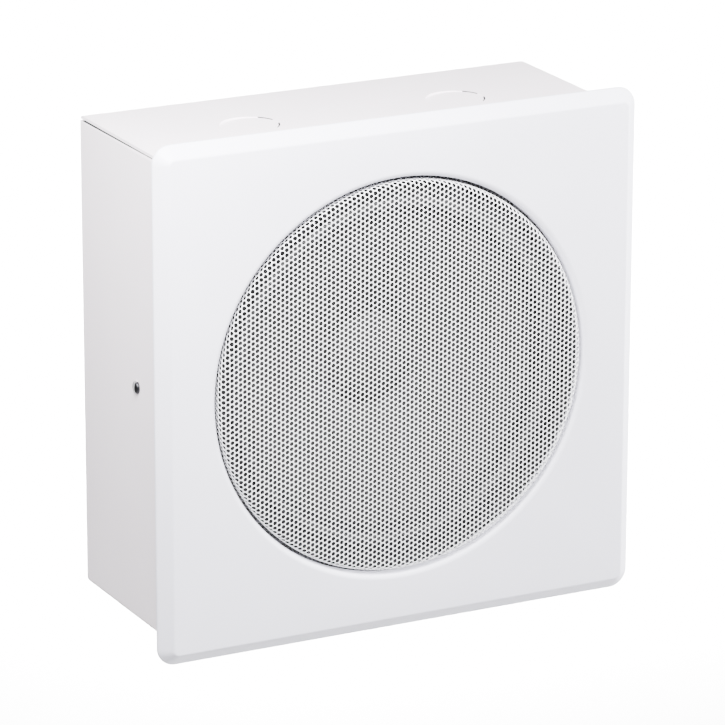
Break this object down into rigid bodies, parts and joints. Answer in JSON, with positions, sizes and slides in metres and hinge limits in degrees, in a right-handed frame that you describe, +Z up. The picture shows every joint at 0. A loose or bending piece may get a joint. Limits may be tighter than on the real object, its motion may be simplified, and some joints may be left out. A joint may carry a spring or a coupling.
{
  "type": "wall cabinet loudspeaker",
  "caption": "Square white steel wall loudspeaker: bevelled front panel with a round perforated grille on a folded box, with the driver and line transformer inside.",
  "frame": {"origin": "middle of the box's back wall, on the face that lies against the wall", "axes": "+X to the right of someone facing the grille, +Y from the room into the wall, +Z up"},
  "size_m": [0.25, 0.104, 0.25],
  "materials": {
    "white_powder_coat": "satin white powder coat on sheet steel",
    "grille_powder_coat": "satin white powder coat on perforated sheet steel",
    "zinc_steel": "bright zinc plate on steel",
    "black_steel": "thin black paint on pressed steel",
    "gasket_foam": "black closed-cell foam",
    "treated_cloth": "black treated cloth",
    "black_paper": "black pressed paper",
    "spider_cloth": "tan resin-stiffened cotton",
    "coil_former": "kraft paper tube",
    "copper_wire": "enamelled and braided copper",
    "ferrite": "pressed ceramic ferrite",
    "laminate": "brown paper laminate",
    "tinned_brass": "brass",
    "lamination_steel": "stacked silicon-steel laminations, dark oxide",
    "ivory_plastic": "ivory moulded plastic",
    "coil_tape": "yellow polyester tape over the winding",
    "white_insulation": "white wire insulation",
    "red_insulation": "red wire insulation"
  },
  "bodies": {
    "cabinet": {"back_box": "white_powder_coat", "front_panel": "white_powder_coat", "grille": "grille_powder_coat", "panel_bracket_left": "zinc_steel", "panel_bracket_right": "zinc_steel", "clinch_nuts": "zinc_steel", "side_screw_left": "zinc_steel", "side_screw_right": "zinc_steel", "driver_studs": "zinc_steel", "clamp_upper_left": "zinc_steel", "clamp_upper_right": "zinc_steel", "clamp_lower_left": "zinc_steel", "clamp_lower_right": "zinc_steel", "driver_nuts": "zinc_steel", "driver_gasket": "gasket_foam", "basket": "black_steel", "surround": "treated_cloth", "spider": "spider_cloth", "top_plate": "zinc_steel", "magnet": "ferrite", "yoke": "zinc_steel", "tag_strip": "laminate", "solder_tags": "tinned_brass", "tinsel_leads": "copper_wire", "transformer_core": "lamination_steel", "transformer_bobbin": "ivory_plastic", "transformer_coil": "coil_tape", "transformer_strap": "zinc_steel", "terminal_block": "ivory_plastic", "terminal_screws": "zinc_steel", "back_studs": "zinc_steel", "back_nuts": "zinc_steel", "earth_stud": "tinned_brass", "earth_washer": "zinc_steel", "earth_nut": "tinned_brass", "line_wires": "white_insulation", "speaker_wires": "red_insulation"},
    "diaphragm": {"cone": "black_paper", "dust_cap": "black_paper", "voice_coil_former": "coil_former", "voice_coil_winding": "copper_wire"}
  },
  "joints": [
    {"name": "cone_travel", "type": "slide", "parent": "cabinet", "child": "diaphragm", "axis": [0, 1, 0], "range_m": [-0.002, 0.002], "stiffness_N_per_m": 2500, "deforming": ["surround", "spider", "tinsel_leads"]}
  ]
}
